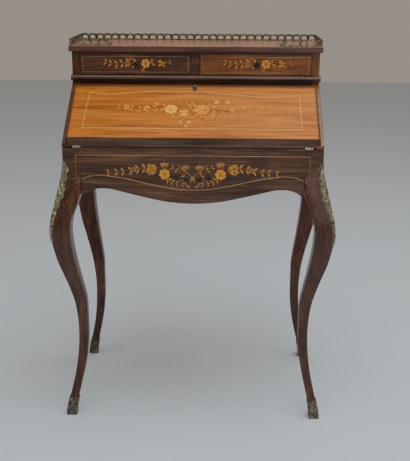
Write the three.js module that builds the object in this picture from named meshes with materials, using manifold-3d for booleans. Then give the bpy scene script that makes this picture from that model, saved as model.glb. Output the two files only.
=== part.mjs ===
// A slant-front writing desk on four cabriole legs, in millimetres with +Z up.
// x runs to the viewer's right, y from the face of the front apron to the back, z up from the floor.
import * as THREE from 'three';
import { mergeVertices } from 'three/addons/utils/BufferGeometryUtils.js';
import Module from 'manifold-3d';

const wasm = await Module();
wasm.setup();

// Case
const caseWidth = 650;
const caseDepth = 385;
const railTop = 736;
const sideThickness = 20;
const backThickness = 10;
const slantStart = 8.6;
const slantRun = 191;
const slantRise = 128.9;
const stageLift = 18.5;
const stageHeight = 60.4;
const slabThickness = 15.7;
const slabSide = 7;
const slabFront = 8;
const slabBack = 1;
const slabEaseRadius = 2;
const clearance = 0.3;
const overrun = 6;
const weld = 0.0001;

// Legs: height, outward offset and width of the square section as shares of railTop, kneeReach, postWidth
const postWidth = 45;
const kneeReach = 31.5;
const legArrisWidth = 2;
const legFoot = 3.3;
const legSteps = 48;
const legShares = [
  [0, 0.45, 0.51], [0.034, 0.365, 0.5], [0.068, 0.19, 0.49], [0.109, -0.03, 0.49], [0.163, -0.3, 0.5],
  [0.217, -0.49, 0.53], [0.272, -0.6, 0.545], [0.326, -0.63, 0.59], [0.38, -0.57, 0.64],
  [0.435, -0.41, 0.7], [0.489, -0.11, 0.77], [0.543, 0.25, 0.86], [0.598, 0.63, 0.98],
  [0.652, 0.89, 1.04], [0.686, 1, 1.08], [0.72, 1, 1.07], [0.761, 0.86, 1.09], [0.802, 0.6, 1.18],
  [0.842, 0.38, 1.22], [0.885, 0.15, 1.09], [0.925, 0, 1], [0.96, 0, 1], [1, 0, 1],
];

// Metal knee mounts and shoes of the legs
const chuteDrop = 37;
const chuteLength = 203;
const chuteProud = 4;
const chuteArm = 18.5;
const chuteGap = 0.7;
const chuteSteps = 24;
const chuteArmShares = [0.22, 0.27, 0.33, 0.42, 0.5, 0.62, 0.78, 0.95, 1, 0.92, 0.8, 0.9, 0.42];
const chuteProudShares = [0.45, 0.55, 0.7, 0.8, 0.88, 0.95, 1, 1, 0.95, 0.85, 0.7, 0.55, 0.35];
const sabotWall = 2.2;
const sabotLow = 36;
const sabotHigh = 58;
const sabotSteps = 8;

// Aprons: half of the lower edge, as shares of the half length and of the drop
const apronThickness = 18;
const frontDrop = 143;
const sideDrop = 125;
const backDrop = 96;
const apronLengthShares = [0, 0.139, 0.268, 0.429, 0.586, 0.679, 0.743, 0.818, 0.868, 0.936, 1];
const apronDropShares = [1, 0.986, 0.955, 0.888, 0.815, 0.769, 0.741, 0.734, 0.745, 0.79, 0.881];
const apronSteps = 40;
const bedThickness = 12;

// Fall board: its inner plane passes through the axis of the hinge pins
const pinY = -2.5;
const pinLift = 0.2;
const fallThickness = 19.3;
const fallEndGap = 8.42;
const fallHalf = 316;
const fallCorner = 20;
const fallRound = 6;
const noseLength = 20;
const noseDepth = 12;
const lipSeat = 5.8;
const tongueGap = 0.5;
const tongueShort = 4;

// Butt hinges
const hingeCentre = 288;
const hingeWidth = 20;
const knuckleRadius = 3;
const hingePinRadius = 1.2;
const hingeBore = 1.35;
const leafThickness = 1.8;
const leafLength = 30;

// Lock of the fall board
const lockWidth = 46;
const lockHeight = 34;
const lockDepth = 9;
const boltWidth = 14;
const boltThickness = 3;
const boltLength = 20;
const boltInset = 0.9;
const boltTravel = 10;
const boltGap = 0.3;
const keyWidth = 2.6;
const keyHeight = 8;
const keyDrop = 24;
const plateWidth = 12;
const plateHeight = 22;
const plateThickness = 1.2;

// Drawer stage
const stageFloorThickness = 14;
const mouldingHeight = 15;
const mouldingDepth = 11;
const mouldingPast = 3;
const dividerWidth = 22;
const topRailHeight = 5.9;
const topRailDepth = 22;
const lockRailGap = 1.5;
const lockRailLow = 15;
const lockRailHigh = 5.4;
const lockRailDepth = 21;
const mortiseDepth = 6;
const drawerGap = 1.2;
const drawerRunGap = 0.3;
const drawerFront = 16;
const drawerFrontTop = 0.6;
const drawerWall = 8;
const drawerBottom = 4;
const drawerBottomLift = 4;
const drawerSideHeight = 45;
const drawerBackGap = 10;

// Fittings inside the writing compartment
const nestSetback = 37;
const nestShelfUnder = 61;
const nestShelfThickness = 8;
const nestBayHalfWidth = 90;
const nestUprightThickness = 8;
const nestDrawerGap = 0.8;
const nestDrawerHeight = 55;
const nestDrawerWall = 6;
const nestDrawerBackGap = 7;
const knobRadius = 6;
const knobLength = 13;
const knobShares = [[0, 0], [0.45, 0], [0.38, 0.35], [1, 0.62], [0.92, 0.86], [0.5, 1], [0, 1]];
const knobSides = 14;
const pinSides = 14;

// Folding stays
const armWidth = 9;
const armThickness = 2;
const armWallGap = 0.6;
const armGap = 1;
const armLength = 106.59;
const armBore = 2.6;
const armPin = 2.2;
const casePivotY = 98.82;
const casePivotLift = 33.09;
const fallPivotAlong = 106.12;
const fallPivotIn = 9.48;
const studHead = 4.5;
const studHeadThickness = 0.5;
const earGap = 0.5;
const earThickness = 2.5;
const earHalf = 8;
const footWidth = 15;
const footHalf = 12;
const footThickness = 1.5;

// Pierced gallery
const galleryHeight = 17.6;
const galleryThickness = 2;
const galleryPitch = 21;
const galleryFoot = 3.2;
const galleryHoleWidth = 14;
const galleryHoleHeight = 9.6;
const returnLength = 98;
const returnTail = 14;
const crestShares = [[0, 0.86], [0.25, 0.955], [0.5, 1], [0.75, 0.955]];
const holeShares = [[0, 0], [1, 0], [1, 0.5], [0.9, 0.78], [0.71, 0.95], [0.5, 1], [0.29, 0.95], [0.1, 0.78],
  [0, 0.5]];
const tailShares = [[0, 0.86], [0.3, 0.8], [0.55, 0.6], [0.75, 0.42], [1, 0.4], [1, 0.16], [0.7, 0]];

const caseHalf = caseWidth / 2;
const innerHalf = caseHalf - sideThickness;
const postInner = caseHalf - postWidth;
const backFace = caseDepth - backThickness;
const pinZ = railTop + pinLift;
const slantAngle = Math.atan2(slantRise, slantRun);
const fallLength = Math.hypot(slantRun, slantRise) - fallEndGap;
const keyAlong = fallLength - keyDrop;
const lockRailAlong = fallLength + lockRailGap;
const stageFloor = railTop + slantStart + slantRise + stageLift;
const slabUnder = stageFloor + stageHeight;
const slabTop = slabUnder + slabThickness;
const chuteTop = railTop - chuteDrop;
const chuteBottom = chuteTop - chuteLength;
const nestFront = slantRun + nestSetback;

const walnut = new THREE.MeshStandardMaterial({ color: 0x4a2c22, roughness: 0.4, metalness: 0 });
const veneer = new THREE.MeshStandardMaterial({ color: 0x5a4234, roughness: 0.38, metalness: 0 });
const fallVeneer = new THREE.MeshStandardMaterial({ color: 0xb87848, roughness: 0.35, metalness: 0 });
const innerWood = new THREE.MeshStandardMaterial({ color: 0x9a7146, roughness: 0.6, metalness: 0 });
const gilt = new THREE.MeshStandardMaterial({ color: 0x7c8468, roughness: 0.45, metalness: 0.8 });
const brass = new THREE.MeshStandardMaterial({ color: 0x8d8253, roughness: 0.4, metalness: 0.9 });
const iron = new THREE.MeshStandardMaterial({ color: 0x6b6760, roughness: 0.5, metalness: 0.9 });

const desk = new THREE.Group();

// A closed geometry as a solid that can be cut and joined
function solid(geometry) {
  const bare = geometry.clone();
  bare.deleteAttribute('normal');
  bare.deleteAttribute('uv');
  const merged = mergeVertices(bare, weld);
  return new wasm.Manifold(new wasm.Mesh({
    numProp: 3,
    vertProperties: new Float32Array(merged.attributes.position.array),
    triVerts: new Uint32Array(merged.index.array),
  }));
}

function geometryOf(manifold) {
  const found = manifold.getMesh();
  const geometry = new THREE.BufferGeometry();
  geometry.setAttribute('position', new THREE.BufferAttribute(new Float32Array(found.vertProperties), 3));
  geometry.setIndex(new THREE.BufferAttribute(new Uint32Array(found.triVerts), 1));
  geometry.computeVertexNormals();
  return geometry;
}

// Names a piece and moves it so that the whole desk stands centred on the origin
function add(name, shape, material) {
  const geometry = shape.isBufferGeometry ? shape : geometryOf(shape);
  geometry.translate(0, -originY, 0);
  const mesh = new THREE.Mesh(geometry, material);
  mesh.name = name;
  desk.add(mesh);
}

// How far a corner piece reaches outwards of the case
function reachOf(geometry) {
  geometry.computeBoundingBox();
  return geometry.boundingBox.max.x;
}

function box(x0, x1, y0, y1, z0, z1) {
  const geometry = new THREE.BoxGeometry(x1 - x0, y1 - y0, z1 - z0);
  geometry.translate((x0 + x1) / 2, (y0 + y1) / 2, (z0 + z1) / 2);
  return geometry;
}

const cutBox = (...limits) => solid(box(...limits));
const outline = (points) => new THREE.Shape(points.map(([a, b]) => new THREE.Vector2(a, b)));

// An outline drawn in (y, z), or in (along, out) on the fall, run along x from x0 to x1
function prismX(shape, x0, x1) {
  const geometry = new THREE.ExtrudeGeometry(shape, { depth: x1 - x0, bevelEnabled: false, curveSegments: 8 });
  geometry.applyMatrix4(new THREE.Matrix4().set(0, 0, 1, x0, 1, 0, 0, 0, 0, 1, 0, 0, 0, 0, 0, 1));
  return geometry;
}

// An outline drawn in (x, z) run along y from y0 to y1
function prismY(shape, y0, y1) {
  const geometry = new THREE.ExtrudeGeometry(shape, { depth: y1 - y0, bevelEnabled: false, curveSegments: 8 });
  geometry.applyMatrix4(new THREE.Matrix4().set(1, 0, 0, 0, 0, 0, -1, y1, 0, 1, 0, 0, 0, 0, 0, 1));
  return geometry;
}

// A round bar along x
function barX(radius, x0, x1, [y, z], sides = 18) {
  const geometry = new THREE.CylinderGeometry(radius, radius, x1 - x0, sides);
  geometry.rotateZ(Math.PI / 2);
  geometry.translate((x0 + x1) / 2, y, z);
  return solid(geometry);
}

// The same span of x on the right (side 1) or mirrored to the left (side -1)
const spanX = (side, a, b) => (side > 0 ? [Math.min(a, b), Math.max(a, b)] : [-Math.max(a, b), -Math.min(a, b)]);
const sideNames = { left: -1, right: 1 };

// Closes a stack of rings with equal point counts, listed upwards, into one body
function loft(rings) {
  const count = rings[0].length;
  const positions = [];
  const index = [];
  rings.forEach((ring) => ring.forEach((p) => positions.push(p.x, p.y, p.z)));
  for (let r = 0; r + 1 < rings.length; r += 1) {
    for (let k = 0; k < count; k += 1) {
      const a = r * count + k;
      const b = r * count + ((k + 1) % count);
      index.push(a, b, b + count, a, b + count, a + count);
    }
  }
  const top = (rings.length - 1) * count;
  THREE.ShapeUtils.triangulateShape(rings[0].map((p) => new THREE.Vector2(p.x, p.y)), []).forEach(([a, b, c]) => {
    index.push(a, c, b, top + a, top + b, top + c);
  });
  const geometry = new THREE.BufferGeometry();
  geometry.setAttribute('position', new THREE.Float32BufferAttribute(positions, 3));
  geometry.setIndex(index);
  return geometry;
}

// Reads a column of the leg table at a height, along a smooth curve through its rows
function legColumn(z, column, size) {
  const rows = legShares;
  const last = rows.length - 1;
  const share = z / railTop;
  let i = 0;
  while (i < last - 1 && share > rows[i + 1][0]) i += 1;
  const span = rows[i + 1][0] - rows[i][0];
  const t = Math.min(1, Math.max(0, (share - rows[i][0]) / span));
  const slope = (k) => (k <= 0 || k >= last ? 0
    : (rows[k + 1][column] - rows[k - 1][column]) / (rows[k + 1][0] - rows[k - 1][0]));
  const t2 = t * t;
  const t3 = t2 * t;
  const value = (2 * t3 - 3 * t2 + 1) * rows[i][column] + (t3 - 2 * t2 + t) * span * slope(i)
    + (3 * t2 - 2 * t3) * rows[i + 1][column] + (t3 - t2) * span * slope(i + 1);
  return value * size;
}

// The square section of a leg at a height, its outward corner towards +x +y, grown by a spread
function legRing(z, spread) {
  const high = legColumn(z, 1, kneeReach) + spread;
  const low = Math.max(-postWidth, high - legColumn(z, 2, postWidth) - 2 * spread);
  const e = legArrisWidth;
  return [[high, high - e], [high - e, high], [low + e, high], [low, high - e], [low, low + e], [low + e, low],
    [high - e, low], [high, low + e]].map(([x, y]) => new THREE.Vector3(x, y, z));
}

function legBody(low, high, spread, steps) {
  const rings = [];
  for (let i = 0; i <= steps; i += 1) rings.push(legRing(low + ((high - low) * i) / steps, spread));
  return loft(rings);
}

// Takes a piece drawn on a corner with its outward sides along +x +y to one of the four case corners
function toCorner(geometry, side, rear) {
  const depth = rear ? 1 : -1;
  geometry.applyMatrix4(new THREE.Matrix4().makeScale(side, depth, 1));
  geometry.translate(side * caseHalf, rear ? caseDepth : 0, 0);
  if (side * depth < 0) {
    const { index } = geometry;
    for (let i = 0; i < index.count; i += 3) {
      const held = index.getX(i);
      index.setX(i, index.getX(i + 1));
      index.setX(i + 1, held);
    }
  }
  return geometry;
}

// A metal shoe round the foot, its rim rising towards the outward corner
function sabotBody() {
  const high = sabotHigh + overrun;
  const shell = solid(legBody(0, high, sabotWall, sabotSteps));
  const foot = solid(legBody(legFoot - clearance, high + overrun, clearance, sabotSteps));
  const far = kneeReach + overrun;
  const near = -postWidth;
  const rim = (x, y) => sabotLow + ((sabotHigh - sabotLow) * (x + y - 2 * near)) / (2 * kneeReach - 2 * near);
  const corners = [[near, near], [far, near], [far, far], [near, far]];
  const ceiling = 2 * high;
  const rings = [corners.map(([x, y]) => new THREE.Vector3(x, y, rim(x, y))),
    corners.map(([x, y]) => new THREE.Vector3(x, y, ceiling))];
  return geometryOf(shell.subtract(foot).subtract(solid(loft(rings))));
}

// A value between the entries of a table of shares
function readShares(table, share) {
  const at = share * (table.length - 1);
  const i = Math.min(table.length - 2, Math.floor(at));
  return table[i] + (table[i + 1] - table[i]) * (at - i);
}

// The knee mount: an angle of metal on the outward corner that narrows to its lower tip
function chuteBody() {
  const rings = [];
  for (let i = 0; i <= chuteSteps; i += 1) {
    const share = i / chuteSteps;
    const z = chuteBottom + (chuteTop - chuteBottom) * share;
    const inner = legColumn(z, 1, kneeReach) + chuteGap;
    const outer = inner - chuteGap + chuteProud * readShares(chuteProudShares, share);
    const arm = outer - chuteArm * readShares(chuteArmShares, share) - chuteProud;
    rings.push([[outer, outer], [arm, outer], [arm, inner], [inner, inner], [inner, arm], [outer, arm]]
      .map(([x, y]) => new THREE.Vector3(x, y, z)));
  }
  return loft(rings);
}

const originY = (caseDepth + reachOf(legBody(legFoot, railTop, 0, legSteps)) - reachOf(chuteBody())) / 2;
const frontLegs = {};
for (const [end, rear] of [['front', false], ['back', true]]) {
  for (const [name, side] of Object.entries(sideNames)) {
    const leg = toCorner(legBody(legFoot, railTop, 0, legSteps), side, rear);
    if (rear) add(`leg_back_${name}`, leg, walnut);
    else frontLegs[name] = solid(leg);
    add(`sabot_${end}_${name}`, toCorner(sabotBody(), side, rear), gilt);
    if (!rear) add(`chute_${name}`, toCorner(chuteBody(), side, rear), gilt);
  }
}

// An apron with its shaped lower edge, centred on zero along its length
function apronShape(length, drop) {
  const halfEdge = apronLengthShares.map((share, i) => [(share * length) / 2, railTop - apronDropShares[i] * drop]);
  const points = [...halfEdge.slice(1).reverse().map(([a, b]) => [-a, b]), ...halfEdge];
  const curve = new THREE.SplineCurve(points.map(([a, b]) => new THREE.Vector2(a, b)));
  return new THREE.Shape([...curve.getPoints(apronSteps), new THREE.Vector2(length / 2, railTop),
    new THREE.Vector2(-length / 2, railTop)]);
}

let frontApron = solid(prismY(apronShape(2 * postInner, frontDrop), 0, apronThickness));
const sideApron = prismX(apronShape(caseDepth - 2 * postWidth, sideDrop), caseHalf - apronThickness, caseHalf);
sideApron.translate(0, caseDepth / 2, 0);
const leftApron = sideApron.clone();
leftApron.translate(apronThickness - caseWidth, 0, 0);
add('apron_left', leftApron, veneer);
add('apron_right', sideApron, veneer);
add('apron_back', prismY(apronShape(2 * postInner, backDrop), caseDepth - apronThickness, caseDepth), walnut);

const bedHalf = caseHalf - apronThickness;
const bedUnder = railTop - bedThickness;
let bed = cutBox(-bedHalf, bedHalf, apronThickness, caseDepth - apronThickness, bedUnder, railTop);
for (const side of [-1, 1]) {
  const [x0, x1] = spanX(side, postInner, caseHalf + overrun);
  bed = bed.subtract(cutBox(x0, x1, -overrun, postWidth, bedUnder - overrun, railTop + overrun));
  bed = bed.subtract(cutBox(x0, x1, caseDepth - postWidth, caseDepth + overrun, bedUnder - overrun,
    railTop + overrun));
}

// A point of the closed fall board, given along it from the hinge axis and outwards of its inner plane
const onFall = (along, out) => [pinY + along * Math.cos(slantAngle) - out * Math.sin(slantAngle),
  pinZ + along * Math.sin(slantAngle) + out * Math.cos(slantAngle)];

// Lays a piece drawn in (x, along, out) on the closed fall board
function layOnFall(geometry) {
  const c = Math.cos(slantAngle);
  const s = Math.sin(slantAngle);
  geometry.applyMatrix4(new THREE.Matrix4().set(1, 0, 0, 0, 0, c, -s, pinY, 0, s, c, pinZ, 0, 0, 0, 1));
  return geometry;
}

const fallBox = (...limits) => solid(layOnFall(box(...limits)));

// Fall board: an inner tongue between the case sides and a rounded lip that lies on their edges
function lipBody() {
  const start = -fallCorner;
  const plan = new THREE.Shape();
  plan.moveTo(-fallHalf, start);
  plan.lineTo(fallHalf, start);
  plan.absarc(fallHalf - fallCorner, fallLength - fallCorner, fallCorner, 0, Math.PI / 2, false);
  plan.absarc(fallCorner - fallHalf, fallLength - fallCorner, fallCorner, Math.PI / 2, Math.PI, false);
  const board = new THREE.ExtrudeGeometry(plan, { depth: fallThickness, bevelEnabled: true, bevelSegments: 4,
    bevelThickness: fallRound, bevelSize: fallRound, bevelOffset: -fallRound, curveSegments: 6 });
  board.translate(0, 0, -fallRound);
  const nose = new THREE.Shape();
  nose.moveTo(start - overrun, lipSeat);
  nose.lineTo(fallLength, lipSeat);
  nose.absellipse(fallLength - noseLength, fallThickness - noseDepth, noseLength, noseDepth, 0, Math.PI / 2, false,
    0);
  nose.lineTo(start - overrun, fallThickness);
  return solid(board).intersect(solid(prismX(nose, -fallHalf - overrun, fallHalf + overrun)));
}

const tongueHalf = innerHalf - tongueGap;
const tongueEnd = fallLength - tongueShort;
let fall = lipBody().add(cutBox(-tongueHalf, tongueHalf, -fallCorner / 2, tongueEnd, 0, lipSeat + clearance));
fall = solid(layOnFall(geometryOf(fall)));
fall = fall.subtract(cutBox(-caseWidth, caseWidth, -caseDepth, 0, 0, slabUnder));

// Butt hinges: a leaf let into the rail that holds the pin, and a leaf let into the fall board
for (const [name, side] of Object.entries(sideNames)) {
  const x0 = side * hingeCentre - hingeWidth / 2;
  const x1 = x0 + hingeWidth;
  const third = hingeWidth / 3;
  const [m0, m1] = [x0 + third, x1 - third];
  const axis = [pinY, pinZ];
  const leafUnder = railTop - leafThickness;
  const room = knuckleRadius + clearance;
  const bore = barX(hingeBore, x0 - overrun, x1 + overrun, axis, pinSides);
  let fixed = cutBox(x0, x1, pinY, leafLength, leafUnder, railTop).add(barX(knuckleRadius, x0, x1, axis));
  fixed = fixed.subtract(barX(room, m0 - clearance / 2, m1 + clearance / 2, axis))
    .add(barX(hingePinRadius, x0, x1, axis, pinSides));
  const plate = prismX(outline([[0, 0], [leafLength, 0], [leafLength, leafThickness], [0, leafThickness]]), x0, x1);
  let moving = solid(layOnFall(plate)).subtract(barX(room, x0 - overrun, m0 + clearance / 2, axis))
    .subtract(barX(room, m1 - clearance / 2, x1 + overrun, axis));
  moving = moving.add(barX(knuckleRadius, m0 + clearance / 2, m1 - clearance / 2, axis)).subtract(bore);
  add(`hinge_leaf_case_${name}`, fixed, brass);
  add(`hinge_leaf_fall_${name}`, moving, brass);
  const pocket = cutBox(x0 - clearance, x1 + clearance, pinY - overrun, leafLength + clearance,
    leafUnder - clearance, railTop + overrun);
  frontApron = frontApron.subtract(pocket).subtract(barX(room, x0 - clearance, x1 + clearance, axis));
  bed = bed.subtract(pocket);
  add(`leg_front_${name}`, frontLegs[name].subtract(pocket)
    .subtract(barX(room, x0 - clearance, x1 + clearance, axis)), walnut);
  fall = fall.subtract(fallBox(x0 - clearance, x1 + clearance, -overrun, leafLength + clearance, -overrun,
    leafThickness + clearance)).subtract(barX(room + clearance, x0 - clearance, x1 + clearance, axis));
}
add('apron_front', frontApron, veneer);
add('writing_bed', bed, innerWood);

// Lock: a case let into the fall, a bolt that slides up into the rail, and the key plate outside
const boltHalf = boltWidth / 2;
const boltHigh = boltInset + boltThickness;
const boltEnd = tongueEnd - boltGap;
const keyhole = (low, high) => fallBox(-keyWidth / 2, keyWidth / 2, keyAlong - keyHeight / 2,
  keyAlong + keyHeight / 2, low, high);
fall = fall.subtract(fallBox(-lockWidth / 2 - clearance, lockWidth / 2 + clearance,
  tongueEnd - lockHeight - clearance, tongueEnd + clearance, -overrun, lockDepth + clearance));
fall = fall.subtract(keyhole(0, fallThickness + overrun));
add('fall_board', fall, fallVeneer);
add('lock_case', fallBox(-lockWidth / 2, lockWidth / 2, tongueEnd - lockHeight, tongueEnd, 0, lockDepth)
  .subtract(fallBox(-boltHalf - boltGap, boltHalf + boltGap, boltEnd - boltLength - boltGap, tongueEnd + overrun,
    boltInset - boltGap, boltHigh + boltGap))
  .subtract(keyhole(boltHigh + boltGap, lockDepth + overrun)), iron);
add('lock_bolt', layOnFall(box(-boltHalf, boltHalf, boltEnd - boltLength, boltEnd, boltInset, boltHigh)), iron);
const plateShape = new THREE.Shape();
plateShape.absellipse(0, keyAlong, plateWidth / 2, plateHeight / 2, 0, 2 * Math.PI, false, 0);
const keyPlate = new THREE.ExtrudeGeometry(plateShape, { depth: plateThickness, bevelEnabled: false,
  curveSegments: 10 });
keyPlate.translate(0, 0, fallThickness + clearance);
add('escutcheon', solid(layOnFall(keyPlate)).subtract(keyhole(0, fallThickness + overrun)), gilt);

// Case: sides with the slant, back, rails, drawer floor and top
for (const [name, side] of Object.entries(sideNames)) {
  const shape = outline([[0, railTop], [caseDepth, railTop], [caseDepth, slabUnder], [slantRun, slabUnder],
    [slantRun, railTop + slantStart + slantRise], [0, railTop + slantStart]]);
  add(`side_panel_${name}`, prismX(shape, ...spanX(side, innerHalf, caseHalf)), veneer);
}
add('back_panel', box(-innerHalf, innerHalf, backFace, caseDepth, railTop, slabUnder), walnut);
const floorUnder = stageFloor - stageFloorThickness;
add('drawer_floor', box(-innerHalf, innerHalf, slantRun, backFace, floorUnder, stageFloor), innerWood);
const railBack = slantRun + lockRailDepth;
const railFoot = onFall(lockRailAlong, -lockRailLow);
const railAlong = (slantRun - pinY + lockRailHigh * Math.sin(slantAngle)) / Math.cos(slantAngle);
const lockRail = prismX(outline([onFall(lockRailAlong, lockRailHigh), railFoot, [railBack, railFoot[1]],
  [railBack, floorUnder], [slantRun, floorUnder], onFall(railAlong, lockRailHigh)]), -innerHalf, innerHalf);
add('lock_rail', solid(lockRail).subtract(fallBox(-boltHalf - 2 * boltGap, boltHalf + 2 * boltGap,
  lockRailAlong - overrun, lockRailAlong + mortiseDepth, boltInset - 2 * boltGap, boltHigh + 2 * boltGap)), walnut);

const moulding = new THREE.Shape();
const mouldingFront = slantRun - mouldingDepth;
const mouldingRound = mouldingHeight / 2;
moulding.moveTo(slantRun, stageFloor - mouldingHeight);
moulding.lineTo(slantRun, stageFloor);
moulding.absarc(mouldingFront + mouldingRound, stageFloor - mouldingRound, mouldingRound, Math.PI / 2,
  Math.PI * 1.5, false);
add('waist_moulding', prismX(moulding, -caseHalf - mouldingPast, caseHalf + mouldingPast), walnut);
const topRailUnder = slabUnder - topRailHeight;
add('drawer_divider', box(-dividerWidth / 2, dividerWidth / 2, slantRun, backFace, stageFloor, topRailUnder), walnut);
add('top_rail', box(-innerHalf, innerHalf, slantRun, slantRun + topRailDepth, topRailUnder, slabUnder), walnut);

const slabHalf = caseHalf + slabSide;
const slabNear = slantRun - slabFront;
const slabFar = caseDepth + slabBack;
const slab = new THREE.ExtrudeGeometry(outline([[-slabHalf, slabNear], [slabHalf, slabNear], [slabHalf, slabFar],
  [-slabHalf, slabFar]]), { depth: slabThickness - 2 * slabEaseRadius, bevelEnabled: true, bevelSegments: 3,
  bevelThickness: slabEaseRadius, bevelSize: slabEaseRadius, bevelOffset: -slabEaseRadius });
slab.translate(0, 0, slabUnder + slabEaseRadius);
add('top_slab', slab, walnut);

// Two drawers side by side, each a front, two sides, a back and a bottom
for (const [name, side] of Object.entries(sideNames)) {
  const near = dividerWidth / 2 + drawerGap;
  const far = innerHalf - drawerGap;
  const low = stageFloor + drawerRunGap;
  const start = slantRun + drawerFront;
  const end = backFace - drawerBackGap;
  const floor = low + drawerBottomLift;
  const high = low + drawerSideHeight;
  const inside = spanX(side, near + drawerWall, far - drawerWall);
  add(`drawer_${name}_front`, box(...spanX(side, near, far), slantRun, start, stageFloor + drawerGap,
    topRailUnder - drawerFrontTop), veneer);
  add(`drawer_${name}_side_inner`, box(...spanX(side, near, near + drawerWall), start, end, low, high), innerWood);
  add(`drawer_${name}_side_outer`, box(...spanX(side, far - drawerWall, far), start, end, low, high), innerWood);
  add(`drawer_${name}_back`, box(...inside, end - drawerWall, end, floor, high), innerWood);
  add(`drawer_${name}_bottom`, box(...inside, start, end - drawerWall, floor, floor + drawerBottom), innerWood);
}

// Inner drawer between two uprights under a shelf
const shelfUnder = railTop + nestShelfUnder;
add('nest_shelf', box(-innerHalf, innerHalf, nestFront, backFace, shelfUnder, shelfUnder + nestShelfThickness),
  innerWood);
for (const [name, side] of Object.entries(sideNames)) {
  add(`nest_upright_${name}`, box(...spanX(side, nestBayHalfWidth, nestBayHalfWidth + nestUprightThickness),
    nestFront, backFace, railTop, shelfUnder), innerWood);
}
const trayHalf = nestBayHalfWidth - nestDrawerGap;
const trayLow = railTop + drawerRunGap;
const trayHigh = trayLow + nestDrawerHeight;
const trayEnd = backFace - nestDrawerBackGap;
add('inner_drawer', cutBox(-trayHalf, trayHalf, nestFront, trayEnd, trayLow, trayHigh)
  .subtract(cutBox(nestDrawerWall - trayHalf, trayHalf - nestDrawerWall, nestFront + nestDrawerWall,
    trayEnd - nestDrawerWall, trayLow + nestDrawerWall, trayHigh + overrun)), innerWood);
const knob = new THREE.LatheGeometry(knobShares.map(([r, l]) => new THREE.Vector2(r * knobRadius, l * knobLength)),
  knobSides);
knob.rotateX(Math.PI);
knob.translate(0, nestFront, trayLow + nestDrawerHeight / 2);
add('inner_drawer_knob', solid(knob), brass);

// Folding stays: one arm turns on the case side, one on a bracket of the fall board
const casePivot = [casePivotY, railTop + casePivotLift];
const fallPivot = onFall(fallPivotAlong, -fallPivotIn);
const apart = Math.hypot(casePivot[0] - fallPivot[0], casePivot[1] - fallPivot[1]);
const lean = Math.atan2(casePivot[1] - fallPivot[1], casePivot[0] - fallPivot[0]);
const elbowAngle = lean + Math.acos(apart / 2 / armLength);
const elbow = [fallPivot[0] + armLength * Math.cos(elbowAngle), fallPivot[1] + armLength * Math.sin(elbowAngle)];
function armBody(pivot, x0, x1) {
  const angle = Math.atan2(elbow[1] - pivot[1], elbow[0] - pivot[0]);
  const shape = new THREE.Shape();
  shape.absarc(...pivot, armWidth / 2, angle + Math.PI / 2, angle + Math.PI * 1.5, false);
  shape.absarc(...elbow, armWidth / 2, angle - Math.PI / 2, angle + Math.PI / 2, false);
  return solid(prismX(shape, x0, x1)).subtract(barX(armBore, x0 - overrun, x1 + overrun, pivot, pinSides));
}
const lowerOut = innerHalf - armWallGap;
const lowerIn = lowerOut - armThickness;
const upperOut = lowerIn - armGap;
const upperIn = upperOut - armThickness;
const earOut = upperIn - earGap;
const earIn = earOut - earThickness;
for (const [name, side] of Object.entries(sideNames)) {
  const [l0, l1] = spanX(side, lowerIn, lowerOut);
  add(`stay_arm_case_${name}`, armBody(casePivot, l0, l1)
    .subtract(barX(armBore, l0 - overrun, l1 + overrun, elbow, pinSides)), brass);
  add(`stay_arm_fall_${name}`, armBody(fallPivot, ...spanX(side, upperIn, upperOut))
    .add(barX(armPin, ...spanX(side, upperIn, lowerOut), elbow, pinSides)), brass);
  const headIn = lowerIn - armGap / 4 - studHeadThickness;
  add(`stay_stud_${name}`, barX(armPin, ...spanX(side, headIn, innerHalf), casePivot, pinSides)
    .add(barX(studHead, ...spanX(side, headIn, headIn + studHeadThickness), casePivot, pinSides)), brass);
  const ear = outline([[fallPivotAlong - earHalf, -clearance], [fallPivotAlong + earHalf, -clearance],
    [fallPivotAlong + earHalf / 2, -fallPivotIn - armWidth / 2],
    [fallPivotAlong - earHalf / 2, -fallPivotIn - armWidth / 2]]);
  const [f0, f1] = spanX(side, earOut - footWidth, earOut);
  add(`stay_bracket_${name}`, solid(layOnFall(prismX(ear, ...spanX(side, earIn, earOut))))
    .add(fallBox(f0, f1, fallPivotAlong - footHalf, fallPivotAlong + footHalf, -clearance - footThickness, -clearance))
    .add(barX(armPin, ...spanX(side, earIn, upperOut), fallPivot, pinSides)), brass);
}

// Pierced gallery: a strip with arched openings and a scalloped crest, drawn from its corner end,
// laid in place by a run function that takes an outline and the two faces of the strip
function galleryStrip(length, tail, run, near) {
  const count = Math.round(length / galleryPitch);
  const pitch = length / count;
  const crest = [];
  for (let i = 0; i < count; i += 1) {
    crestShares.forEach(([a, h]) => crest.push([(i + a) * pitch, h * galleryHeight]));
  }
  const end = tail ? tailShares.map(([a, h]) => [length + a * tail, h * galleryHeight])
    : [[length, crestShares[0][1] * galleryHeight], [length, 0]];
  let strip = solid(run(outline([[0, 0], ...crest, ...end]), near, near + galleryThickness));
  for (let i = 0; i < count; i += 1) {
    const start = (i + 0.5) * pitch - galleryHoleWidth / 2;
    const hole = outline(holeShares.map(([a, h]) => [start + a * galleryHoleWidth,
      galleryFoot + h * galleryHoleHeight]));
    strip = strip.subtract(solid(run(hole, near - overrun, near + galleryThickness + overrun)));
  }
  return geometryOf(strip);
}
const galleryX = slabHalf - slabEaseRadius;
const galleryNear = slabNear + slabEaseRadius;
const galleryFar = slabFar - slabEaseRadius;
const galleryAlongX = (length, tail, y) => {
  const geometry = galleryStrip(length, tail, prismY, y);
  geometry.translate(-galleryX, 0, slabTop);
  return geometry;
};
add('gallery_back', galleryAlongX(2 * galleryX, 0, galleryFar - galleryThickness), gilt);
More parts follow.
